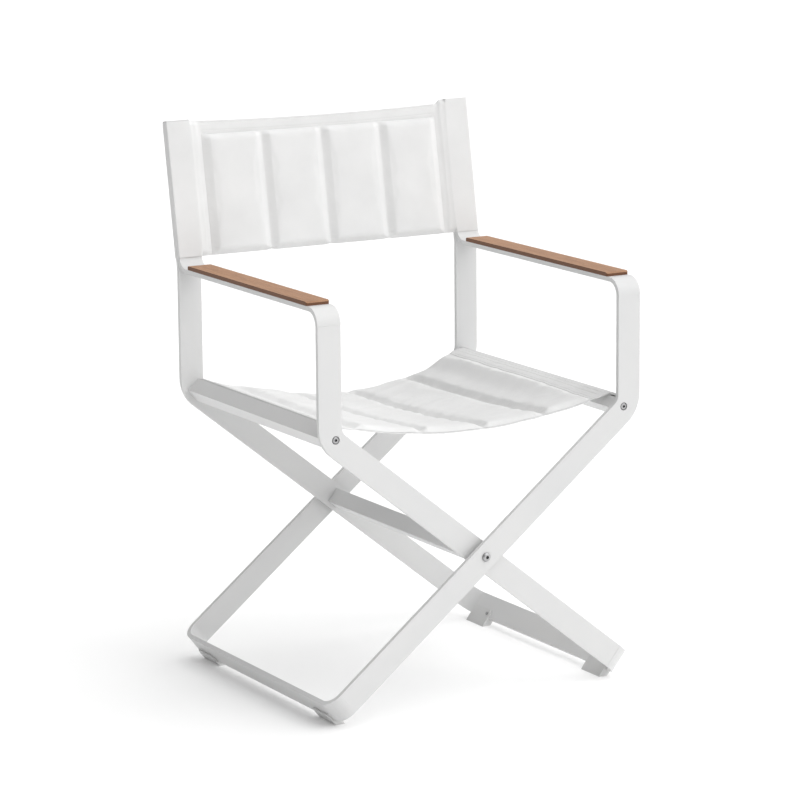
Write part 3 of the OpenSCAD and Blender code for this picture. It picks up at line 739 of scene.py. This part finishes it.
def make_back_pads():
    u, v = lines(BACK_SEAMS, 0.005), lines((PADS_LOW, PADS_HIGH), 0.0055)
    grid_u, grid_v = np.meshgrid(u, v, indexing="ij")
    inset = rounded_inset(grid_u, grid_v, BACK_SEAMS, PADS_LOW, PADS_HIGH, 0.005, 0.015)
    tall = pad_height(inset, grid_v, PAD_TALL, 0.0122, 0.0004, 0.055, 8)
    high = grid_v + 0.0027 * (1 - (grid_u / BACK_SEAMS[-1]) ** 2) * smooth((grid_v - 0.1) / 0.1)
    base = web_middle(grid_u) - WEB_HALF - 0.0001
    pads = shell("back_pads", back_point(grid_u, base - tall, high),
                 back_point(grid_u, base, high), u, v)
    inflate(pads, off_seams(inset))
    refine(pads)
    dress(pads, PADDED, "padding", "back_padding")
    across_fold(pads)


def back_run(x, s, proud):
    """A row of stitches on the front of the web, this far proud of it."""
    points = back_point(x, web_middle(x) - WEB_HALF - proud, s)
    return points, np.tile(-R_AXIS, (len(points), 1))


def make_back_stitching():
    steps = np.arange(-0.219, 0.219, STITCH_STEP)
    runs = [back_run(steps, np.full_like(steps, at), 0.0005) for at in BACK_ROWS]
    steps = np.arange(BACK_LOW + 0.004, PADS_HIGH, STITCH_STEP)
    runs += [back_run(np.full_like(steps, seam), steps, 0.0006) for seam in BACK_SEAMS[1:-1]]
    stitching = threads("back_stitching", runs)
    dress(stitching, THREAD, "canvas")
    across_fold(stitching)


make_seat_cloth()
make_seat_pads()
make_seat_stitching()
make_back_cloth()
make_back_pads()
make_back_stitching()
for node in ("outer_keder", "inner_keder"):
    NODES[node].data.materials.clear()
    NODES[node].data.materials.append(CANVAS)


# ---------- floor and light ----------
def floor():
    """One wide, plain pale floor, which fills the view behind the chair."""
    glow = {"Emission Color": (1, 1, 1, 1), "Emission Strength": 0.09}
    s = Shader("floor_white", (0.93, 0.93, 0.93), 0.8, **{"Specular IOR Level": 0.0}, **glow)
    pale = s.ramp(s.noise(1.5, 2), (0.3, (0.93, 0.93, 0.93)), (0.7, (0.94, 0.94, 0.94)))
    s.set("Base Color", pale)
    reach = 60.0
    mesh = bpy.data.meshes.new("floor")
    corners = [(-reach, -reach, 0), (reach, -reach, 0), (reach, reach, 0), (-reach, reach, 0)]
    mesh.from_pydata(corners, [], [(0, 1, 2, 3)])
    mesh.materials.append(s.mat)
    obj = bpy.data.objects.new("floor", mesh)
    bpy.context.scene.collection.objects.link(obj)


def soft_sun(name, azimuth, elevation, strength, angle):
    """A far, wide light: azimuth turns from the front (-Y) towards the right (+X)."""
    a, e = math.radians(azimuth), math.radians(elevation)
    way = Vector((math.sin(a) * math.cos(e), -math.cos(a) * math.cos(e), math.sin(e)))
    data = bpy.data.lights.new(name, "SUN")
    data.energy, data.angle = strength, math.radians(angle)
    obj = bpy.data.objects.new(name, data)
    obj.location = way * 4
    obj.rotation_mode = "QUATERNION"
    obj.rotation_quaternion = way.to_track_quat("Z", "Y")
    bpy.context.scene.collection.objects.link(obj)


def studio_sky(base, right, top):
    """Plain surrounding light that grows towards the right side (+X) and towards the top."""
    w = bpy.data.worlds.new("studio")
    w.use_nodes = True
    tree = w.node_tree
    back = tree.nodes["Background"]
    where = tree.nodes.new("ShaderNodeTexCoord")
    split = tree.nodes.new("ShaderNodeSeparateXYZ")
    tree.links.new(where.outputs["Generated"], split.inputs[0])
    parts = []
    for axis, low, least, most in (("X", -1, base, base + right), ("Z", 0, 0, top)):
        ramp = tree.nodes.new("ShaderNodeMapRange")
        ramp.interpolation_type = "SMOOTHSTEP" if axis == "X" else "LINEAR"
        tree.links.new(split.outputs[axis], ramp.inputs["Value"])
        for key, value in (("From Min", low), ("From Max", 1), ("To Min", least), ("To Max", most)):
            ramp.inputs[key].default_value = value
        parts.append(ramp.outputs["Result"])
    total = tree.nodes.new("ShaderNodeMath")
    for socket, part in zip(total.inputs, parts):
        tree.links.new(part, socket)
    tree.links.new(total.outputs[0], back.inputs["Strength"])
    back.inputs["Color"].default_value = (1, 1, 1, 1)
    bpy.context.scene.world = w


floor()
studio_sky(0.06, 0.82, 0.38)
soft_sun("key", 62, 57, 1.22, 80)
soft_sun("front", 15, 28, 0.6, 80)
bpy.context.scene.view_settings.view_transform = "Standard"
